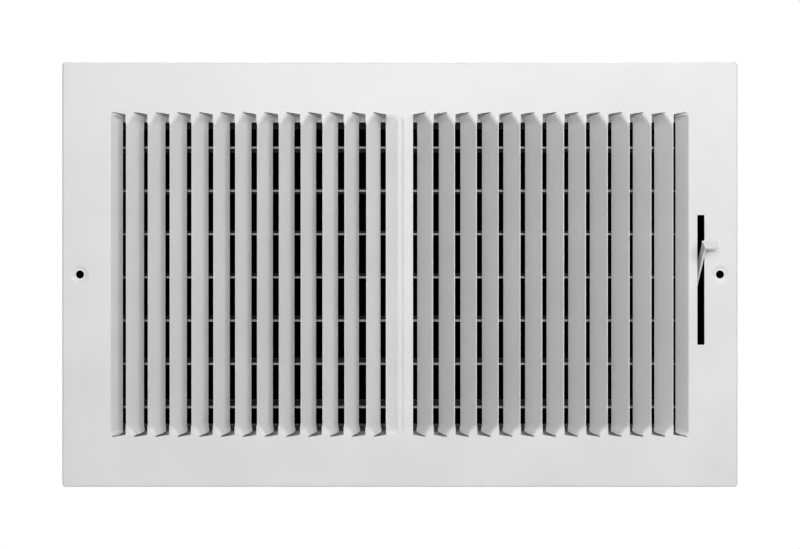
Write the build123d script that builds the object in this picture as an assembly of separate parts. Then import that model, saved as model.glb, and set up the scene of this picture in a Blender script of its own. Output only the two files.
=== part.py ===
from build123d import *
import os
from math import asin, cos, degrees, radians, sin, sqrt, tan

# Two-way sidewall register: a stamped steel face with two banks of lanced louvre fins,
# and behind it a damper of seven linked blades worked by a lever through the face.
# +X is right, +Y goes into the wall and +Z is up. The origin is the centre of the wall
# plane, which the rear rim of the face's turned-back edge rests on. Millimetres.

# Face sheet
face_sheet = 0.8
face_depth = 6.35
edge_bend_radius = 1.2
corner_radius = 1.6
side_margin = 26.45
end_margin = 29.32
screw_edge_distance = 10.25
screw_hole_diameter = 4.6
dimple_diameter = 11.0
dimple_flat_diameter = 6.8
dimple_depth = 0.6

# Louvres: strips of the sheet, slit at the back of each end, creased across the neck and tilted
fin_count = 12
fin_pitch = 12.7
first_fin_axis = 18.0
fin_tilt = 49.5
fin_lead = 2.0
neck_trail = 3.0
crease_length = 6.5
crease_end_gap = 0.4
fold_setback = 1.7
fold_margin = 2.0
slit_corner_length = 2.0
slit_rise = 1.2
louvre_half_height = 94.5

# Centre bar between the banks, formed into a low roof with a bead and a groove
bar_half_width = 8.15
bar_left_drop = 2.0
bar_right_drop = 0.7
bar_bead_height = 0.45
bar_groove_depth = 0.4
bar_bead_width = 1.6
bar_run_out = 5.0

# Damper frame
frame_sheet = 0.8
frame_drop = 1.5
fold_clearance = 0.7
rail_front = 11.5
frame_back = 43.5
rail_flange_height = 8.0
rail_lip_height = 5.0
rail_ear_length = 24.0
plate_corner_radius = 4.0
weld_tab_width = 10.0
weld_tab_height = 36.0
weld_tab_inset = 12.0
rivet_diameter = 3.2
rivet_head_diameter = 6.0
rivet_head_height = 0.9

# Damper blades
blade_count = 7
blade_pitch = 25.72
blade_overlap = 2.28
blade_sheet = 0.6
blade_hem = 3.6
blade_pivot_depth = 27.0
blade_end_gap = 1.0
tip_clearance = 0.5
bead_radius = 2.0
running_clearance = 0.05
journal_stand_out = 0.6
journal_root = 4.0

# Link bar that joins the blades
crank_radius = 11.0
crank_lead = 32.0
crank_ear_radius = 3.5
link_sheet = 0.8
link_width = 7.0
link_side_gap = 0.2
link_rivet_diameter = 2.5
link_rivet_head_diameter = 4.4
link_rivet_head_height = 0.6
link_rivet_end_gap = 0.5

# Lever on the fifth blade
lever_blade = 5
lever_sheet = 1.2
lever_width = 5.5
lever_hub_diameter = 10.0
lever_rise = 53.2
lever_reach = 55.9
lever_over_open = 3.0
lever_closing = 73.0
lever_slot_clearance = 1.0
lever_slot_over_run = 16.5
lever_slot_side_gap = 1.4
lever_slot_corner = 0.6
lever_standoff = 2.8
lever_stud_flats = 3.0
lever_tab_length = 7.6
lever_tab_width = 7.0
lever_tab_corner = 1.6
retainer_diameter = 8.4
retainer_height = 1.1
spacer_diameter = 8.0

# Places that follow from the sizes above
front = -face_depth
sheet_middle = front + face_sheet / 2
fin_trail = fin_pitch - fin_lead
fin_axes = [first_fin_axis + fin_pitch * k for k in range(fin_count + 1)]
fold_axis = fin_axes[-1]
fold_line = fold_axis - fold_setback
slit_end_height = louvre_half_height - slit_rise
face_half_width = fold_axis + side_margin
face_half_height = louvre_half_height + end_margin
screw_x = face_half_width - screw_edge_distance

plate_inner = fold_axis + fold_clearance
plate_outer = plate_inner + frame_sheet
blade_half = (blade_pitch + blade_overlap) / 2
pivot_y = front + blade_pivot_depth
pivot_heights = [
    -frame_drop + blade_pitch * ((blade_count - 1) / 2 - k) for k in range(blade_count)
]
rail_top = pivot_heights[0] + blade_half + tip_clearance
rail_bottom = pivot_heights[-1] - blade_half - tip_clearance
rail_front_y = front + rail_front
frame_back_y = front + frame_back

link_outer = plate_inner - link_rivet_end_gap - link_rivet_head_height
link_inner = link_outer - link_sheet
ear_outer = link_inner - link_side_gap
ear_inner = ear_outer - blade_sheet
crank_y = crank_radius * cos(radians(crank_lead))
crank_z = -crank_radius * sin(radians(crank_lead))

lever_z = pivot_heights[lever_blade - 1]
lever_inner = plate_outer + lever_standoff
lever_outer = lever_inner + lever_sheet
lever_middle = (lever_inner + lever_outer) / 2
slot_half_width = lever_sheet / 2 + lever_slot_side_gap


def block(x0, x1, y0, y1, z0, z1):
    """A box between two corners."""
    centre = Pos((x0 + x1) / 2, (y0 + y1) / 2, (z0 + z1) / 2)
    return centre * Box(abs(x1 - x0), abs(y1 - y0), abs(z1 - z0))


def rod(x0, x1, y, z, radius):
    """A cylinder along X."""
    low, high = sorted((x0, x1))
    profile = Plane.YZ.offset(low) * Pos(y, z) * Circle(radius)
    return extrude(profile, high - low)


def lever_crossing(angle, side):
    """Height where one edge of the lever, at an angle above the normal, crosses the face."""
    centre = lever_z + blade_pivot_depth * tan(radians(angle))
    return centre + side * lever_width / 2 / cos(radians(angle))


# Face plate
def both_ends(levels):
    """Levels of one end of a strip, followed by the same levels at its other end."""
    return levels + [(-height, *rest) for height, *rest in reversed(levels)]


def corner_levels():
    """Distance below the slit, and width of the strip behind its axis, round the slit's corner."""
    width = fin_trail - neck_trail
    steps = (0.25, 0.6, 1.0)
    return [(step * slit_corner_length, neck_trail + width * sqrt(1 - (1 - step) ** 2)) for step in steps]


def strip_section(axis, hand, height, lead, trail, crease, front_tilt, back_tilt):
    """A strip's cross-section: a line that bends at the crease, half a sheet thick on each side."""
    front_run = Vector(cos(radians(front_tilt)), -sin(radians(front_tilt)))
    back_run = Vector(cos(radians(back_tilt)), -sin(radians(back_tilt)))
    bend = (front_run if crease < 0 else back_run) * crease
    outer = bend + front_run * (lead - crease)
    inner = bend - back_run * (trail + crease)
    half = face_sheet / 2
    outer_skin = Vector(-front_run.Y, front_run.X) * half
    inner_skin = Vector(-back_run.Y, back_run.X) * half
    middle_tilt = radians((front_tilt + back_tilt) / 2)
    mitre = half / cos(radians((back_tilt - front_tilt) / 2))
    bend_skin = Vector(sin(middle_tilt), cos(middle_tilt)) * mitre
    corners = [
        outer - outer_skin, outer + outer_skin, bend + bend_skin,
        inner + inner_skin, inner - inner_skin, bend - bend_skin,
    ]
    points = [(hand * (axis + p.X), sheet_middle + p.Y) for p in corners]
    return Plane.XY.offset(height) * make_face(Polyline(*points, close=True))


def fin(axis, hand):
    """One louvre strip: a crease runs slantwise over each neck, flat before it and tilted behind it."""
    first = crease_end_gap - neck_trail
    last = fin_lead - crease_end_gap
    levels = [(louvre_half_height + face_sheet, neck_trail, first, 0, 0)]
    levels.append((slit_end_height, neck_trail, first, 0, 0))
    for run_out, trail in corner_levels():
        crease = first + (last - first) * run_out / crease_length
        levels.append((slit_end_height - run_out, trail, crease, 0, fin_tilt))
    levels.append((slit_end_height - crease_length, fin_trail, last, fin_tilt, fin_tilt))
    return loft([strip_section(axis, hand, level[0], fin_lead, *level[1:]) for level in both_ends(levels)],
                ruled=True)


def folded_fin(hand):
    """The outermost strip of a bank: the margin of the sheet, folded in along its whole length."""
    neck = neck_trail - fold_setback
    levels = [(louvre_half_height + face_sheet, neck, 0), (slit_end_height, neck, 0)]
    for run_out, trail in corner_levels():
        levels.append((slit_end_height - run_out, trail - fold_setback, fin_tilt))
    sections = []
    for height, trail, tilt in both_ends(levels):
        sections.append(strip_section(fold_line, hand, height, fold_margin, trail, 0, 0, tilt))
    return loft(sections, ruled=True)


def bar_section(height, share):
    """Cross-section of the centre bar, with its forming at a share of the full depth."""
    front_line = [
        (-bar_half_width, bar_left_drop),
        (-bar_bead_width, 0.0),
        (-bar_bead_width / 2, -bar_bead_height),
        (bar_bead_width / 2, bar_groove_depth),
        (bar_bead_width, 0.0),
        (bar_half_width, bar_right_drop),
    ]
    near = [(x, front + share * drop) for x, drop in front_line]
    far = [(x, y + face_sheet) for x, y in reversed(near)]
    return Plane.XY.offset(height) * make_face(Polyline(*near, *far, close=True))


def centre_bar():
    root = louvre_half_height + face_sheet
    formed = slit_end_height - bar_run_out
    levels = [(root, 0.0), (slit_end_height, 0.0), (formed, 1.0)]
    levels += [(-height, share) for height, share in reversed(levels)]
    return loft([bar_section(height, share) for height, share in levels], ruled=True)


def louvre_opening():
    """The opening's outline, with a low tooth over the slit at each end of every strip."""
    upper = [(fold_line + fold_margin, slit_end_height)]
    for axis in reversed(fin_axes):
        upper.append((axis - neck_trail, louvre_half_height))
        upper.append((max(axis - fin_trail, bar_half_width), slit_end_height))
    half = upper + [(-x, z) for x, z in reversed(upper)]
    outline = half + [(x, -z) for x, z in reversed(half)]
    profile = Plane.XZ.offset(-front - 2 * face_sheet) * make_face(Polyline(*outline, close=True))
    return extrude(profile, 4 * face_sheet)


def screw_dimple(x):
    """A dished screw seat, drawn back into the sheet round its hole."""
    outer = dimple_diameter / 2
    flat = dimple_flat_diameter / 2
    hole = screw_hole_diameter / 2
    slope = degrees(asin(dimple_depth / sqrt((outer - flat) ** 2 + dimple_depth**2)))
    shift = face_sheet * tan(radians(slope / 2))
    points = [
        (outer, 0),
        (flat, dimple_depth),
        (hole, dimple_depth),
        (hole, dimple_depth + face_sheet),
        (flat - shift, dimple_depth + face_sheet),
        (outer - shift, face_sheet),
        (outer, face_sheet),
    ]
    profile = Plane.XY * make_face(Polyline(*points, close=True))
    dish = revolve(profile, Axis.Y, 360)
    return Pos(x, front, 0) * dish


def face_plate():
    outer = block(-face_half_width, face_half_width, front, 0, -face_half_height, face_half_height)
    outer = fillet(outer.edges().filter_by(Axis.Y), corner_radius)
    outer = fillet(outer.faces().sort_by(Axis.Y)[0].edges(), edge_bend_radius)
    inner_width = face_half_width - face_sheet
    inner_height = face_half_height - face_sheet
    inner = block(-inner_width, inner_width, front + face_sheet, face_depth, -inner_height, inner_height)
    inner = fillet(inner.edges().filter_by(Axis.Y), corner_radius - face_sheet)
    inner = fillet(inner.faces().sort_by(Axis.Y)[0].edges(), edge_bend_radius - face_sheet)
    plate = outer - inner - louvre_opening()

    slot_top = lever_crossing(lever_rise + lever_over_open, 1) + lever_slot_over_run
    slot_bottom = lever_crossing(lever_rise - lever_closing, -1) - lever_slot_clearance
    slot = block(
        lever_middle - slot_half_width, lever_middle + slot_half_width,
        front - face_sheet, front + 2 * face_sheet, slot_bottom, slot_top,
    )
    plate -= fillet(slot.edges().filter_by(Axis.Y), lever_slot_corner)

    strips = [centre_bar()]
    for hand in (1, -1):
        strips += [fin(axis, hand) for axis in fin_axes[:-1]]
        strips.append(folded_fin(hand))
    for x in (screw_x, -screw_x):
        reach = 4 * face_sheet
        seat = Pos(x, front, 0) * Rot(90, 0, 0) * Cylinder(dimple_diameter / 2, reach)
        plate -= seat
        strips.append(screw_dimple(x))
    return plate + strips


# Damper frame
def rail(inner_face, side):
    """A channel above or below the blades, with an ear at each end that meets the end plate."""
    wall = inner_face + side * frame_sheet
    flange = inner_face + side * rail_flange_height
    lip = inner_face + side * rail_lip_height
    half = plate_inner
    channel = block(-half, half, rail_front_y, frame_back_y, inner_face, wall)
    channel += block(-half, half, rail_front_y, rail_front_y + frame_sheet, inner_face, flange)
    channel += block(-half, half, frame_back_y - frame_sheet, frame_back_y, inner_face, lip)
    ear_start = pivot_y - rail_ear_length / 2
    ear_end = pivot_y + rail_ear_length / 2
    for hand in (1, -1):
        ear = block(hand * (half - frame_sheet), hand * half, ear_start, ear_end, inner_face, flange)
        channel += ear
        for y, z in rivet_places(inner_face, side):
            channel -= rod(hand * half - 2 * frame_sheet, hand * half + 2 * frame_sheet,
                           y, z, rivet_diameter / 2)
    return channel


def rivet_places(inner_face, side):
    """Depth and height of the two rivets in one ear of a rail."""
    height = inner_face + side * (rail_flange_height + frame_sheet) / 2
    return [(pivot_y - rail_ear_length / 4, height), (pivot_y + rail_ear_length / 4, height)]


def end_plate(hand):
    """The upright at one end, which the blades turn in, with two tabs welded to the face."""
    top = rail_top + rail_flange_height
    bottom = rail_bottom - rail_flange_height
    face_back = front + face_sheet
    plate = block(hand * plate_inner, hand * plate_outer, face_back, frame_back_y, bottom, top)
    plate = fillet(plate.edges().filter_by(Axis.X).group_by(Axis.Y)[-1], plate_corner_radius)
    for start, end in ((top - weld_tab_inset, top - weld_tab_inset - weld_tab_height),
                       (bottom + weld_tab_inset, bottom + weld_tab_inset + weld_tab_height)):
        plate += block(hand * plate_inner, hand * (plate_inner + weld_tab_width),
                       face_back, face_back + frame_sheet, start, end)
    hole = bead_radius + running_clearance
    low = min(hand * plate_inner, hand * plate_outer) - frame_sheet
    high = max(hand * plate_inner, hand * plate_outer) + frame_sheet
    for z in pivot_heights:
        plate -= rod(low, high, pivot_y, z, hole)
    for inner_face, side in ((rail_top, 1), (rail_bottom, -1)):
        for y, z in rivet_places(inner_face, side):
            plate -= rod(low, high, y, z, rivet_diameter / 2)
    return plate


def frame_rivets():
    """Two rivets through each rail ear and its end plate."""
    group = []
    for hand in (1, -1):
        ear = plate_inner - frame_sheet
        for inner_face, side in ((rail_top, 1), (rail_bottom, -1)):
            for y, z in rivet_places(inner_face, side):
                rivet = rod(hand * ear, hand * plate_outer, y, z, rivet_diameter / 2)
                rivet += rod(hand * plate_outer, hand * (plate_outer + rivet_head_height),
                             y, z, rivet_head_diameter / 2)
                rivet += rod(hand * (ear - rivet_head_height), hand * ear,
                             y, z, rivet_head_diameter / 2)
                group.append(rivet)
    return Compound(children=group)


# Damper blades
def blade(number):
    """A hemmed sheet blade with a pressed bead, a rolled journal at each end and a crank ear."""
    half_sheet = blade_sheet / 2
    hem_middle = blade_half - blade_hem / 2
    hollow = bead_radius - blade_sheet
    section = Rectangle(2 * blade_half, blade_sheet)
    section += Pos(-hem_middle, -blade_sheet) * Rectangle(blade_hem, blade_sheet)
    section += Pos(hem_middle, blade_sheet) * Rectangle(blade_hem, blade_sheet)
    section += Circle(bead_radius) & (Pos(0, bead_radius / 2) * Rectangle(2 * bead_radius, bead_radius))
    groove = Pos(0, (hollow - half_sheet) / 2) * Rectangle(2 * hollow, hollow + half_sheet)
    section -= Circle(hollow) & groove
    left_end = -plate_inner + blade_end_gap
    body = extrude(Plane.YZ.offset(left_end) * section, ear_outer - left_end)

    root = crank_ear_radius + half_sheet
    ear = make_face(Polyline(
        (crank_y - root, half_sheet), (crank_y + root, half_sheet),
        (crank_y + crank_ear_radius, crank_z), (crank_y - crank_ear_radius, crank_z), close=True))
    ear += Pos(crank_y, crank_z) * Circle(crank_ear_radius)
    ear -= Pos(crank_y, crank_z) * Circle(link_rivet_diameter / 2 + running_clearance)
    body += extrude(Plane.YZ.offset(ear_inner) * ear, blade_sheet)

    body += rod(-plate_outer - journal_stand_out, left_end + journal_root, 0, 0, bead_radius)
    if number == lever_blade:
        body += rod(ear_inner - journal_root, lever_inner, 0, 0, bead_radius)
        stud = Rot(0, 0, -lever_rise) * flatted(bead_radius, lever_stud_flats)
        body += extrude(Plane.YZ.offset(lever_inner) * stud, lever_sheet + retainer_height)
    else:
        body += rod(ear_inner - journal_root, plate_outer + journal_stand_out, 0, 0, bead_radius)
    return Pos(0, pivot_y, pivot_heights[number - 1]) * body


def flatted(radius, across):
    """A circle with two flats, for a stud or the hole that it drives."""
    return Circle(radius) & Rectangle(2 * radius, across)


# Link
def link_bar():
    """An upright strip with a hole for each blade's crank rivet."""
    top = pivot_heights[0] + crank_z
    bottom = pivot_heights[-1] + crank_z
    y = pivot_y + crank_y
    outline = Pos(y, (top + bottom) / 2) * Rectangle(link_width, top - bottom)
    outline += Pos(y, top) * Circle(link_width / 2)
    outline += Pos(y, bottom) * Circle(link_width / 2)
    for z in pivot_heights:
        outline -= Pos(y, z + crank_z) * Circle(link_rivet_diameter / 2)
    return extrude(Plane.YZ.offset(link_inner) * outline, link_sheet)


def link_rivets():
    """One rivet for each blade, tight in the link bar and free in the blade's ear."""
    group = []
    inner_seat = ear_inner - link_side_gap
    y = pivot_y + crank_y
    for height in pivot_heights:
        z = height + crank_z
        rivet = rod(inner_seat, link_outer, y, z, link_rivet_diameter / 2)
        rivet += rod(link_outer, link_outer + link_rivet_head_height, y, z, link_rivet_head_diameter / 2)
        rivet += rod(inner_seat - link_rivet_head_height, inner_seat, y, z, link_rivet_head_diameter / 2)
        group.append(rivet)
    return Compound(children=group)


# Lever
def lever():
    """A strip that swings with its blade and comes out of the face, its tip bent to a tab."""
    outline = Pos(-lever_reach / 2, 0) * Rectangle(lever_reach, lever_width)
    outline += Circle(lever_hub_diameter / 2)
    outline -= flatted(bead_radius + running_clearance, lever_stud_flats + 2 * running_clearance)
    strip = extrude(Plane.YZ.offset(lever_inner) * outline, lever_sheet)
    tab = block(lever_inner, lever_outer + lever_tab_length, -lever_reach, -lever_reach + lever_sheet,
                -lever_tab_width / 2, lever_tab_width / 2)
    tab = fillet(tab.edges().filter_by(Axis.Y).group_by(Axis.X)[-1], lever_tab_corner)
    swing = Pos(0, pivot_y, lever_z) * Rot(-lever_rise, 0, 0)
    return swing * (strip + tab)


def lever_spacer():
    """A bush that keeps the lever in line with its slot."""
    start = plate_outer + running_clearance
    end = lever_inner - running_clearance
    ring = rod(start, end, pivot_y, lever_z, spacer_diameter / 2)
    return ring - rod(start, end, pivot_y, lever_z, bead_radius + running_clearance)


def lever_retainer():
    """A push-on cap ring that holds the lever on the blade's flatted stud."""
    end = lever_outer + retainer_height
    ring = rod(lever_outer, end, pivot_y, lever_z, retainer_diameter / 2)
    return ring - rod(lever_outer, end, pivot_y, lever_z, bead_radius)


parts = {
    "face_plate": face_plate(),
    "top_rail": rail(rail_top, 1),
    "bottom_rail": rail(rail_bottom, -1),
    "left_end_plate": end_plate(-1),
    "right_end_plate": end_plate(1),
    "frame_rivets": frame_rivets(),
    "link_bar": link_bar(),
    "link_rivets": link_rivets(),
    "lever": lever(),
    "lever_spacer": lever_spacer(),
    "lever_retainer": lever_retainer(),
}
for number in range(1, blade_count + 1):
    parts[f"blade_{number}"] = blade(number)

os.makedirs("parts", exist_ok=True)
for name, part in parts.items():
    part.label = name
    export_step(part, f"parts/{name}.step")
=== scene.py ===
import math

import bmesh
import bpy
import numpy as np
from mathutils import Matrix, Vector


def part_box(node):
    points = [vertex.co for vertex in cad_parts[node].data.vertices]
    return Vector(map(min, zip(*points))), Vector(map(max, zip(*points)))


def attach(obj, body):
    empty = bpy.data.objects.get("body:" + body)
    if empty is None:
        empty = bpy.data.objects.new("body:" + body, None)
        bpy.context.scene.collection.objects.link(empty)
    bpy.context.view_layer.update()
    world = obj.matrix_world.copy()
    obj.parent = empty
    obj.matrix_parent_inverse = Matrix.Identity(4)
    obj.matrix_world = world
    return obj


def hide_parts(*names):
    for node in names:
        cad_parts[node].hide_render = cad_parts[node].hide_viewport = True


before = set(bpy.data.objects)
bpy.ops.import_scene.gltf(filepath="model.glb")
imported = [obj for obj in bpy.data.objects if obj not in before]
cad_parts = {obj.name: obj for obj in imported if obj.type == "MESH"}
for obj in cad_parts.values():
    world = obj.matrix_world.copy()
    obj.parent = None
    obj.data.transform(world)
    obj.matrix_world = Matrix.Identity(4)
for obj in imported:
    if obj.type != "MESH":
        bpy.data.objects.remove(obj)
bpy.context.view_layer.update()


# Stamped face
# The register's face is one sheet of steel, lanced into two banks of louvre fins, with its edges
# turned back to the wall, a formed bar between the banks, a slot for the lever and two dished
# screw seats. It is sprayed with white enamel before the damper is fixed behind it.
MM = 0.001
_, face_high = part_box("face_plate")
half_width = face_high.x
half_height = face_high.z
sheet = 0.8 * MM
depth = 6.35 * MM
mid_front = sheet / 2 - depth

fin_pitch = 12.7 * MM
strip_count = 13
first_axis = 18.0 * MM
fin_axes = first_axis + fin_pitch * np.arange(strip_count)
fin_tilt = math.radians(49.5)
lean_seed = 7
lean_spread = 0.012
fin_lead = 2.0 * MM
neck_trail = 3.0 * MM
fin_trail = fin_pitch - fin_lead
crease_length = 6.5 * MM
crease_width = 3.0 * MM

fold_setback = 1.7 * MM
fold_line = fin_axes[-1] - fold_setback
fold_root = 2.0 * MM
fold_neck = neck_trail - fold_setback
fold_radius = 1.4 * MM
fold_run_out = 3.0 * MM
fold_flat = np.linspace(0.0, 1.0, 4)
fold_turn = np.linspace(0.0, 1.0, 9)
fold_slope = np.linspace(0.0, 1.0, 7)

louvre_top = 94.5 * MM
slit_end = 93.3 * MM
slit_width = 0.45 * MM
slit_points = 6
corner_power = 1.5
corner_length = corner_power * (louvre_top - slit_end)
cut_rows = np.concatenate(([0.0], np.linspace(slit_width, louvre_top - slit_end, 5)))
lower_rows = np.array((1.5, 1.8, 2.4, 3.1, 3.9, 4.7, 5.6, 6.5, 7.4, 8.3, 9.2, 10.1)) * MM
end_rows = np.concatenate((cut_rows, lower_rows))

bar_half = 7.9 * MM
bar_run_out = 5.0 * MM
pressed_left = -2.4 * MM
pressed_right = 3.2 * MM
pressed_marks = np.array((-0.9, 1.2, 2.8)) * MM
pressed_drops = np.array((3.0, -0.15, 0.6, -0.15, 0.6)) * MM
pressed_window = 0.2 * MM

bend_radius = 0.8 * MM
bend_start = 1.2 * MM
corner_start = 1.6 * MM
corner_radius = corner_start - bend_start
quarter_turn = np.linspace(0.0, math.pi / 2, 7)
margin_rows = 4

slot_sides = np.array((173.3, 177.3)) * MM
slot_ends = np.array((-40.9, 34.6)) * MM
screw_inset = 10.25 * MM
screw_x = half_width - screw_inset
seat_block = 7.0 * MM
seat_cells = 12
seat_lines = np.linspace(-seat_block, seat_block, seat_cells + 1)
dish_rim = 6.3 * MM
dish_radius = 5.6 * MM
dish_flat = 3.3 * MM
dish_depth = 0.6 * MM
hole_radius = 2.3 * MM


def smooth(share):
    """The cubic that eases from 0 to 1, held at both ends."""
    t = np.clip(share, 0.0, 1.0)
    return t * t * (3.0 - 2.0 * t)


def spans(*marks):
    """Evenly spaced values through a row of marks: (start, count, next, count, ..., end)."""
    steps = zip(marks[:-2:2], marks[1::2], marks[2::2])
    runs = [np.linspace(start, end, count, endpoint=False) for start, count, end in steps]
    return np.concatenate(runs + [np.array([marks[-1]])])


def sorted_lines(*rows):
    """The values of several rows in rising order, each once, to the nearest nanometre."""
    return np.unique(np.round(np.concatenate(rows), 9))


def middles(lines):
    """The middle of each step of a row of lines."""
    return (lines[1:] + lines[:-1]) / 2


def grid(x, y, z, drop=None):
    """Corner points and four-sided faces of a surface given as arrays over two parameters.

    The faces join each point to its neighbours along both parameters. A true cell of drop is left
    out."""
    x, y, z = np.broadcast_arrays(x, y, z)
    points = np.stack((x, y, z), axis=-1)
    number = np.arange(x.size).reshape(x.shape)
    faces = np.stack((number[:-1, :-1], number[1:, :-1], number[1:, 1:], number[:-1, 1:]), axis=-1)
    if drop is not None:
        faces = faces[~drop]
    return points.reshape(-1, 3), faces.reshape(-1, 4)


def weld(name, patches, join=2e-6):
    """One mesh object from several grids, with the points that they share joined."""
    starts = np.cumsum([0] + [len(points) for points, _ in patches[:-1]])
    points = np.concatenate([points for points, _ in patches])
    faces = np.concatenate([faces + start for (_, faces), start in zip(patches, starts)])
    mesh = bpy.data.meshes.new(name)
    mesh.from_pydata(points.tolist(), [], faces.tolist())
    work = bmesh.new()
    work.from_mesh(mesh)
    bmesh.ops.remove_doubles(work, verts=work.verts, dist=join)
    bmesh.ops.dissolve_degenerate(work, edges=work.edges, dist=join)
    bmesh.ops.recalc_face_normals(work, faces=work.faces)
    work.to_mesh(mesh)
    work.free()
    mesh.shade_smooth()
    piece = bpy.data.objects.new(name, mesh)
    bpy.context.scene.collection.objects.link(piece)
    return piece


def running_total(values, steps):
    """The sum of values times steps down the columns, by the trapezium rule, from zero."""
    parts = (values[1:] + values[:-1]) / 2 * steps
    return np.concatenate((np.zeros((1, values.shape[1])), np.cumsum(parts, axis=0)))


def cut_reach(z):
    """How far past its neck a strip reaches at each level: along the slanted cut, then a round corner.

    The share that is still missing is a power of the share of the corner's length that is left."""
    level = np.clip((louvre_top - slit_width - np.abs(z)) / corner_length, 0.0, 1.0)
    return (fin_trail - neck_trail) * (1.0 - (1.0 - level) ** corner_power)


# Offsets across a fin's neck, from the slit's end over the axis line to the front edge.
neck_lines = spans(-neck_trail, 10, 0.0, 7, fin_lead)


def fin(axis, hand, lean):
    """A louvre fin: its tilt at each point, summed across from the axis line.

    Above a slanting crease, from the slit's end down to the front edge, the strip is still flat. Below
    it has the full tilt, and the tilt eases from one to the other over the crease's width."""
    z = np.concatenate((louvre_top - end_rows, [0.0], end_rows[::-1] - louvre_top))
    below = slit_end - np.abs(z)
    reach = neck_trail + cut_reach(z)
    neck = neck_lines[:, None]
    offset = np.where(neck < 0.0, neck * reach / neck_trail, neck)
    crease = crease_length * (offset + neck_trail) / (fin_lead + neck_trail)
    tilt = fin_tilt * lean * smooth((below - crease) / crease_width + 0.5)
    tilt[:, [0, -1]] = 0.0
    steps = np.diff(offset, axis=0)
    x = running_total(np.cos(tilt), steps)
    y = running_total(np.sin(tilt), steps)
    middle = np.argmin(np.abs(neck))
    return grid(hand * (axis + x - x[middle]), mid_front - y + y[middle], z)


def folded_margin(hand, z):
    """The bank's outermost strip: flat sheet, a rounded fold, then the sheet's margin tilted inwards.

    The fold runs to both slits, where it eases out over a short length."""
    tilt = fin_tilt * smooth((louvre_top - np.abs(z)) / fold_run_out)
    reach = fold_neck + cut_reach(z)
    corner = fold_radius * np.tan(tilt / 2)
    turned = tilt * fold_turn[1:, None]
    x_flat = fold_root + (corner - fold_root) * fold_flat[:, None]
    x_turn = corner - fold_radius * np.sin(turned)
    y_turn = fold_radius * (1.0 - np.cos(turned))
    run = (reach - corner) * fold_slope[1:, None]
    x_slope = x_turn[-1] - run * np.cos(tilt)
    y_slope = y_turn[-1] + run * np.sin(tilt)
    x = np.concatenate((x_flat, x_turn, x_slope))
    y = np.concatenate((np.zeros_like(x_flat), y_turn, y_slope))
    return grid(hand * (fold_line + x), mid_front + y, z)


bar_lines = spans(-bar_half, 10, pressed_left, 28, pressed_right, 8, bar_half)


def centre_bar():
    """The bar between the banks: its pressed line's drop at each width, eased in below the slits.

    The line is straight from mark to mark, averaged over a small window so that its folds are round."""
    marks = np.concatenate(([-bar_half], pressed_marks, [bar_half]))
    window = np.linspace(-pressed_window, pressed_window, 5)
    drop = np.interp(bar_lines[:, None] + window, marks, pressed_drops).mean(axis=1)[:, None]
    end = np.concatenate((louvre_top - cut_rows, slit_end - np.linspace(0.0, bar_run_out, 9)[1:]))
    z = np.concatenate((end, [0.0], -end[::-1]))
    eased = smooth((slit_end - np.abs(z)) / bar_run_out)
    return grid(bar_lines[:, None], mid_front + drop * eased, z)


def slit_reaches():
    """Both ends of each slit, across: at its own fin's neck and at the next strip inwards."""
    return zip(fin_axes - neck_trail, np.maximum(fin_axes - fin_trail, bar_half))


def teeth(hand, side):
    """The sheet over each slit: from the opening's straight end down to the slanted cut."""
    patches = []
    for outer, inner in slit_reaches():
        x = np.linspace(inner, outer, slit_points)[:, None]
        cut = slit_end + (louvre_top - slit_end) * (x - inner) / (outer - inner)
        z = louvre_top + (cut - louvre_top) * cut_rows / cut_rows[-1]
        patches.append(grid(hand * x, mid_front, side * z))
    return patches


def opening_marks():
    """Where the rows of points cross the opening's straight ends, from the bar out to the fold."""
    marks = [np.linspace(inner, outer, slit_points) for outer, inner in slit_reaches()]
    marks += [axis + neck_lines for axis in fin_axes[:-1]]
    marks += [fold_line + fold_root * fold_flat, fold_line - fold_neck * fold_slope]
    return sorted_lines(*marks)


def screw_seat(hand):
    """A dished seat: rings from a square of the sheet in to the round hole, sunk by an eased slope."""
    low = np.full(seat_cells, -seat_block)
    edge_x = np.concatenate((seat_lines[:-1], -low, seat_lines[:0:-1], low, seat_lines[:1]))
    edge_z = np.concatenate((low, seat_lines[:-1], -low, seat_lines[:0:-1], low[:1]))
    angle = np.arctan2(edge_z, edge_x)
    radii = spans(dish_rim, 2, dish_radius, 8, dish_flat, 3, hole_radius)[:, None]
    sunk = dish_depth * smooth((dish_radius - radii) / (dish_radius - dish_flat))
    x = np.concatenate((edge_x[None], radii * np.cos(angle)))
    z = np.concatenate((edge_z[None], radii * np.sin(angle)))
    y = np.concatenate((np.zeros((1, 1)), sunk))
    return grid(hand * screw_x + x, mid_front + y, z)


def turned_edge(x_lines, z_lines):
    """The edge: the sheet's outline carried round a quarter bend and back to the wall plane.

    The outline goes once round, straight along the grid's lines and in a small arc at each corner."""
    middle = np.array((half_width - corner_start, half_height - corner_start))
    base, out = [], []
    for quarter, line in enumerate((z_lines, -x_lines[::-1], -z_lines[::-1], x_lines)):
        turn = quarter * math.pi / 2
        way = np.array((math.cos(turn), math.sin(turn)))
        side = np.array((-way[1], way[0]))
        base.append(way * (middle[quarter % 2] + corner_radius) + side * line[:, None])
        out.append(np.broadcast_to(way, (len(line), 2)))
        circle = np.stack((np.cos(turn + quarter_turn), np.sin(turn + quarter_turn)), axis=-1)
        corner = np.sign(circle.sum(axis=0).round(6)) * middle
        base.append(corner + corner_radius * circle)
        out.append(circle)
    base = np.concatenate(base + [base[0][:1]])
    out = np.concatenate(out + [out[0][:1]])
    away = np.concatenate((bend_radius * np.sin(quarter_turn), [bend_radius, bend_radius]))
    back = np.concatenate((bend_radius * (1.0 - np.cos(quarter_turn)), [-mid_front / 2, -mid_front]))
    x = base[:, :1] + out[:, :1] * away
    z = base[:, 1:] + out[:, 1:] * away
    return grid(x, mid_front + back, z)


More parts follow.
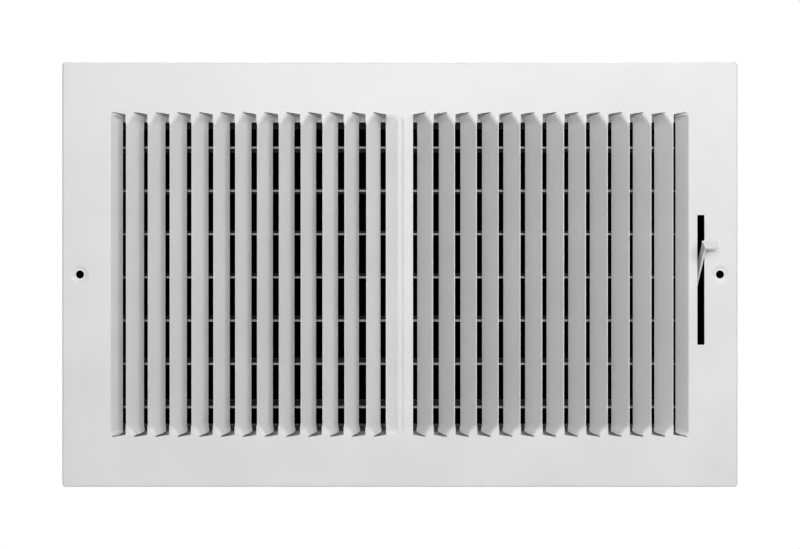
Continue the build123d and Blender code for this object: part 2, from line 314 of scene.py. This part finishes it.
def corner_fans():
    """The flat quarter discs inside the four corner arcs."""
    arc = quarter_turn[:, None]
    radius = np.array((0.0, corner_radius))
    patches = []
    for hand in (1, -1):
        for side in (1, -1):
            x = hand * (half_width - corner_start + radius * np.cos(arc))
            z = side * (half_height - corner_start + radius * np.sin(arc))
            patches.append(grid(x, mid_front, z))
    return patches


def flat_sheet(x_lines, z_lines, drop):
    """A level stretch of the sheet on crossing lines."""
    return grid(x_lines[:, None], mid_front, z_lines[None, :], drop)


margin_lines = np.concatenate((
    [fold_line + fold_root],
    slot_sides,
    screw_x + seat_lines,
    [half_width - corner_start, half_width - bend_start],
))
end_lines = louvre_top - end_rows
side_lines = sorted_lines(end_lines, -end_lines, slot_ends, seat_lines)
level_lines = np.linspace(louvre_top, half_height - corner_start, margin_rows)
top_lines = np.concatenate((level_lines, [half_height - bend_start]))
bank_lines = opening_marks()
width_lines = sorted_lines(-margin_lines, -bank_lines, bar_lines, bank_lines, margin_lines)

patches = []
for hand in (1, -1):
    x_mid = middles(margin_lines)[:, None]
    z_mid = middles(side_lines)[None, :]
    gone = (abs(x_mid - screw_x) < seat_block) & (abs(z_mid) < seat_block)
    if hand > 0:
        in_slot = (x_mid > slot_sides[0]) & (x_mid < slot_sides[1])
        gone |= in_slot & (z_mid > slot_ends[0]) & (z_mid < slot_ends[1])
    patches.append(flat_sheet(hand * margin_lines, side_lines, gone))
    patches.append(screw_seat(hand))
    patches.append(folded_margin(hand, side_lines))
    rng = np.random.default_rng(lean_seed + hand)
    for axis in fin_axes[:-1]:
        patches.append(fin(axis, hand, 1.0 + lean_spread * rng.standard_normal()))
    for side in (1, -1):
        patches += teeth(hand, side)
for side in (1, -1):
    x_mid = abs(middles(width_lines))[:, None]
    z_mid = middles(top_lines)[None, :]
    corner_cell = (x_mid > half_width - corner_start) & (z_mid > half_height - corner_start)
    patches.append(flat_sheet(width_lines, side * top_lines, corner_cell))
patches.append(centre_bar())
slack = 1e-7
inner_x = width_lines[abs(width_lines) < half_width - corner_start + slack]
inner_z = sorted_lines(side_lines, top_lines[1:-1], -top_lines[1:-1])
patches.append(turned_edge(inner_x, inner_z))
patches += corner_fans()

pattern_shift = -0.255 * MM
let_out = slot_sides[0] - margin_lines[0]


def off_centre(points):
    """The louvres' small shift off the face's middle, let out in the flat sheet next to the slot."""
    share = np.clip((slot_sides[0] - np.abs(points[:, :1])) / let_out, 0.0, 1.0)
    return points + share * np.array((pattern_shift, 0.0, 0.0))


face = weld("louvred_face", [(off_centre(points), faces) for points, faces in patches])

paint_radius = 0.16 * MM
sharp_angle = math.radians(50)
thickness = face.modifiers.new("sheet thickness", "SOLIDIFY")
thickness.thickness = sheet
thickness.offset = 0.0
thickness.use_even_offset = True
softened = face.modifiers.new("paint on cut edges", "BEVEL")
softened.width = paint_radius
softened.segments = 2
softened.limit_method = "ANGLE"
softened.angle_limit = sharp_angle
softened.use_clamp_overlap = False
softened.harden_normals = True


def new_material(name):
    """An empty node material with its surface shader, and a short way to add and join nodes."""
    material = bpy.data.materials.new(name)
    material.use_nodes = True
    tree = material.node_tree
    shader = tree.nodes["Principled BSDF"]

    def add(kind, **settings):
        node = tree.nodes.new(kind)
        for key, value in settings.items():
            if hasattr(node, key):
                setattr(node, key, value)
            else:
                node.inputs[key.replace("_", " ")].default_value = value
        return node

    def join(source, target):
        tree.links.new(source, target)

    return material, shader, add, join


def ramp(add, dark, light, low=0.3, high=0.7):
    """A colour ramp between two colours."""
    node = add("ShaderNodeValToRGB")
    node.color_ramp.elements[0].position = low
    node.color_ramp.elements[0].color = (*dark, 1.0)
    node.color_ramp.elements[1].position = high
    node.color_ramp.elements[1].color = (*light, 1.0)
    return node


def white_enamel():
    """Baked white enamel: faint cloudiness, a fine orange peel and slightly uneven gloss."""
    material, shader, add, join = new_material("white_enamel")
    place = add("ShaderNodeTexCoord").outputs["Object"]
    clouds = add("ShaderNodeTexNoise", Scale=22.0, Detail=3.0)
    tone = ramp(add, dark=(0.80, 0.80, 0.795), light=(0.84, 0.84, 0.835))
    join(place, clouds.inputs["Vector"])
    join(clouds.outputs["Fac"], tone.inputs["Fac"])
    join(tone.outputs["Color"], shader.inputs["Base Color"])
    gloss = add("ShaderNodeMapRange", To_Min=0.36, To_Max=0.48)
    join(clouds.outputs["Fac"], gloss.inputs["Value"])
    join(gloss.outputs["Result"], shader.inputs["Roughness"])
    peel = add("ShaderNodeTexNoise", Scale=900.0, Detail=2.0)
    join(place, peel.inputs["Vector"])
    bump = add("ShaderNodeBump", Strength=0.10, Distance=0.0001)
    join(peel.outputs["Fac"], bump.inputs["Height"])
    join(bump.outputs["Normal"], shader.inputs["Normal"])
    shader.inputs["Specular IOR Level"].default_value = 0.4
    return material


enamel = white_enamel()
face.data.materials.append(enamel)
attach(face, "frame")
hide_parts("face_plate")


# Damper frame
# Behind the face two folded channels and two flat uprights make the frame that the blades turn in.
# They are thin steel, riveted at the corners and welded to the face by tabs. Their coat is painted near
# black as painted shade of the inside, their front is painted paler as painted light from the front
# lamps, and the lower channel is painted paler along its inner face as painted light falling on it.
def coat_painted_shade_and_light(name, painted_front_light, fade_start, fade_end):
    """A near-black coat of painted shade, blotched where it ran, with painted light on its front whose
    tone fades out with depth.

    The front's painted light is whole up to one depth and falls, eased, to nothing at another."""
    material, shader, add, join = new_material(name)
    place = add("ShaderNodeTexCoord").outputs["Object"]
    blotch = add("ShaderNodeTexNoise", Scale=35.0, Detail=4.0, Roughness=0.6)
    # The near-black coat is painted shade.
    coat = ramp(add, dark=(0.028, 0.028, 0.029), light=(0.050, 0.050, 0.050))
    join(place, blotch.inputs["Vector"])
    join(blotch.outputs["Fac"], coat.inputs["Fac"])
    # The front's paler tone, fading with depth, is painted light.
    depth_of = add("ShaderNodeSeparateXYZ")
    join(place, depth_of.inputs["Vector"])
    reach = add("ShaderNodeMapRange", From_Min=fade_start, From_Max=fade_end)
    join(depth_of.outputs["Y"], reach.inputs["Value"])
    fade = ramp(add, (painted_front_light, painted_front_light, painted_front_light), (0.0, 0.0, 0.0), low=0.0, high=1.0)
    fade.color_ramp.interpolation = "EASE"
    join(reach.outputs["Result"], fade.inputs["Fac"])
    tone = add("ShaderNodeMix", data_type="RGBA", blend_type="ADD")
    tone.inputs["Factor"].default_value = 1.0
    join(coat.outputs["Color"], tone.inputs["A"])
    join(fade.outputs["Color"], tone.inputs["B"])
    join(tone.outputs["Result"], shader.inputs["Base Color"])
    gloss = add("ShaderNodeMapRange", To_Min=0.50, To_Max=0.66)
    join(blotch.outputs["Fac"], gloss.inputs["Value"])
    join(gloss.outputs["Result"], shader.inputs["Roughness"])
    grain = add("ShaderNodeTexNoise", Scale=1400.0, Detail=2.0)
    join(place, grain.inputs["Vector"])
    bump = add("ShaderNodeBump", Strength=0.12, Distance=0.0001)
    join(grain.outputs["Fac"], bump.inputs["Height"])
    join(bump.outputs["Normal"], shader.inputs["Normal"])
    shader.inputs["Specular IOR Level"].default_value = 0.25
    return material


def finish_nodes(material, *names):
    """Gives solids of the model a finish."""
    for name in names:
        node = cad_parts[name]
        node.data.materials.clear()
        node.data.materials.append(material)


# The frame's pale front flange is painted light from the front lamps.
frame_coat = coat_painted_shade_and_light("frame_coat", painted_front_light=0.80, fade_start=6.0 * MM, fade_end=7.5 * MM)
finish_nodes(frame_coat, "top_rail", "left_end_plate", "right_end_plate")
# The lower rail's inner face is painted paler far into its depth, as painted light falling on it.
lower_rail_painted_light = coat_painted_shade_and_light("lower_rail_painted_light", painted_front_light=0.36, fade_start=4.0 * MM, fade_end=48.0 * MM)
finish_nodes(lower_rail_painted_light, "bottom_rail")


# Rivets, bush and retaining ring
# Small zinc-plated steel pieces: the rivets at the frame's corners and along the link, the lever's
# bush and the ring pushed onto its stud.
def zinc_plate():
    """Bright zinc: a cool metal with a faint spangle and brushed wear."""
    material, shader, add, join = new_material("zinc_steel")
    place = add("ShaderNodeTexCoord").outputs["Object"]
    spangle = add("ShaderNodeTexVoronoi", Scale=900.0)
    tone = ramp(add, dark=(0.50, 0.51, 0.53), light=(0.66, 0.67, 0.69), low=0.1, high=0.9)
    join(place, spangle.inputs["Vector"])
    join(spangle.outputs["Color"], tone.inputs["Fac"])
    join(tone.outputs["Color"], shader.inputs["Base Color"])
    wear = add("ShaderNodeTexNoise", Scale=500.0, Detail=3.0)
    join(place, wear.inputs["Vector"])
    gloss = add("ShaderNodeMapRange", To_Min=0.28, To_Max=0.46)
    join(wear.outputs["Fac"], gloss.inputs["Value"])
    join(gloss.outputs["Result"], shader.inputs["Roughness"])
    bump = add("ShaderNodeBump", Strength=0.1, Distance=0.0001)
    join(wear.outputs["Fac"], bump.inputs["Height"])
    join(bump.outputs["Normal"], shader.inputs["Normal"])
    shader.inputs["Metallic"].default_value = 1.0
    return material


zinc = zinc_plate()
finish_nodes(zinc, "frame_rivets", "link_rivets", "lever_spacer", "lever_retainer")


# Damper blades and link
# Seven hemmed steel blades on rolled journals, joined by an upright strip riveted to their ears.
# They have the frame's near-black coat of painted shade, with painted light on their front edges.
blade_count = 7
# The blades' paler front edges are painted light, and their near-black coat painted shade.
blade_coat = coat_painted_shade_and_light("blade_coat", painted_front_light=0.45, fade_start=6.8 * MM, fade_end=12.0 * MM)
finish_nodes(blade_coat, *[f"blade_{number}" for number in range(1, blade_count + 1)], "link_bar")


# Lever
# A steel strip fixed to the fifth blade that passes through the face, its tip bent to a finger tab.
# It is painted with the face's enamel.
finish_nodes(enamel, "lever")


# Studio
# A pale floor well below the register, white surroundings, and a dark card far behind it, a sheet of
# painted shade that stands in for a dark duct so that the air ways look as deep as they do in a wall. The
# key light is on the right, two soft lights are in front, and a wide one hangs over the floor behind.
floor_level = -1.0
floor_half = 3.0
floor_tone = 0.88
floor_seen = 0.60


def stage_plane(name, corners, material):
    """A flat four-cornered stage piece."""
    mesh = bpy.data.meshes.new(name)
    mesh.from_pydata(corners, [], [(0, 1, 2, 3)])
    mesh.materials.append(material)
    piece = bpy.data.objects.new(name, mesh)
    bpy.context.scene.collection.objects.link(piece)


floor_paint, floor_shader, add_floor, join_floor = new_material("studio_floor")
floor_shader.inputs["Emission Color"].default_value = (floor_seen, floor_seen, floor_seen, 1.0)
seen_floor = add_floor("ShaderNodeLightPath").outputs["Is Camera Ray"]
join_floor(seen_floor, floor_shader.inputs["Emission Strength"])
floor_shader.inputs["Base Color"].default_value = (floor_tone, floor_tone, floor_tone, 1.0)
floor_shader.inputs["Roughness"].default_value = 0.9
floor_corners = [
    (-floor_half, -floor_half, floor_level),
    (floor_half, -floor_half, floor_level),
    (floor_half, floor_half, floor_level),
    (-floor_half, floor_half, floor_level),
]
stage_plane("floor", floor_corners, floor_paint)

eye = np.array((-0.0214, -0.63635, 0.0045))
camera_distance = -depth - eye[1]
card_distance = 30.0
# The card's near-black tone is painted shade, standing in for the dark duct behind a wall.
card_tone = 0.002
seen_half_width = 0.191
seen_half_height = 0.11
card_paint, card_shader, _, _ = new_material("dark_card")
card_shader.inputs["Base Color"].default_value = (card_tone, card_tone, card_tone, 1.0)
card_shader.inputs["Roughness"].default_value = 1.0
card_shader.inputs["Specular IOR Level"].default_value = 0.0
spread = (card_distance - eye[1]) / camera_distance
card_left, card_right = eye[0] + (np.array((-seen_half_width, seen_half_width)) - eye[0]) * spread
card_low, card_high = eye[2] + (np.array((-seen_half_height, seen_half_height)) - eye[2]) * spread
card_corners = [
    (card_left, card_distance, card_low),
    (card_right, card_distance, card_low),
    (card_right, card_distance, card_high),
    (card_left, card_distance, card_high),
]
stage_plane("dark_card", card_corners, card_paint)


def soft_light(name, place, target, size, watts):
    """A rectangular lamp at a place, aimed at a target, of a given width and height."""
    lamp = bpy.data.lights.new(name, "AREA")
    lamp.shape = "RECTANGLE"
    lamp.size, lamp.size_y = size
    lamp.energy = watts
    lit = bpy.data.objects.new(name, lamp)
    way = np.array(target) - np.array(place)
    yaw = math.atan2(way[1], way[0]) - math.pi / 2
    pitch = math.atan2(way[2], math.hypot(way[0], way[1])) + math.pi / 2
    lit.location = place
    lit.rotation_euler = (pitch, 0.0, yaw)
    bpy.context.scene.collection.objects.link(lit)


origin = (0.0, 0.0, 0.0)
soft_light("key", place=(0.79, -0.94, 0.57), target=origin, size=(0.4, 0.4), watts=3.9)
soft_light("front_top", place=(0.0, -1.1, 0.75), target=origin, size=(1.2, 0.6), watts=3.3)
soft_light("front_far", place=(-0.04, -2.4, 0.45), target=origin, size=(0.8, 0.6), watts=21.0)
soft_light("overhead", place=(0.0, 1.1, 2.2), target=(0.0, 1.1, floor_level), size=(2.4, 1.6), watts=40.0)

back_edge = -0.1
front_edge = -0.8
back_glow = 0.08
front_glow = 0.40
world = bpy.data.worlds.new("studio")
bpy.context.scene.world = world
world.use_nodes = True
nodes, links = world.node_tree.nodes, world.node_tree.links
seen = nodes["Background"]
seen.inputs["Color"].default_value = (1.0, 1.0, 1.0, 1.0)
seen.inputs["Strength"].default_value = 1.0
lighting = nodes.new("ShaderNodeBackground")
direction = nodes.new("ShaderNodeTexCoord")
parts = nodes.new("ShaderNodeSeparateXYZ")
links.new(direction.outputs["Generated"], parts.inputs["Vector"])
glow = nodes.new("ShaderNodeMapRange")
glow.inputs["From Min"].default_value = back_edge
glow.inputs["From Max"].default_value = front_edge
glow.inputs["To Min"].default_value = back_glow
glow.inputs["To Max"].default_value = front_glow
links.new(parts.outputs["Y"], glow.inputs["Value"])
links.new(glow.outputs["Result"], lighting.inputs["Strength"])
path = nodes.new("ShaderNodeLightPath")
either = nodes.new("ShaderNodeMixShader")
links.new(path.outputs["Is Camera Ray"], either.inputs["Fac"])
links.new(lighting.outputs["Background"], either.inputs[1])
links.new(seen.outputs["Background"], either.inputs[2])
links.new(either.outputs["Shader"], nodes["World Output"].inputs["Surface"])
bpy.context.scene.view_settings.view_transform = "Standard"
bpy.context.scene.view_settings.gamma = 0.77


# Camera
# The camera looks straight at the face from a little left of its middle, so the outline stays
# square, and the frame is shifted to bring the register back to the middle of the picture.
frame_pixels = 800
face_pixels = 676
picture_width = 2 * half_width * frame_pixels / face_pixels
camera = bpy.data.cameras.new("camera")
camera.sensor_width = 36.0
camera.lens = camera.sensor_width * camera_distance / picture_width
camera.shift_x = -eye[0] / picture_width
camera.shift_y = -eye[2] / picture_width
view = bpy.data.objects.new("camera", camera)
view.location = eye
view.rotation_euler = (math.pi / 2, 0.0, 0.0)
bpy.context.scene.collection.objects.link(view)
bpy.context.scene.camera = view
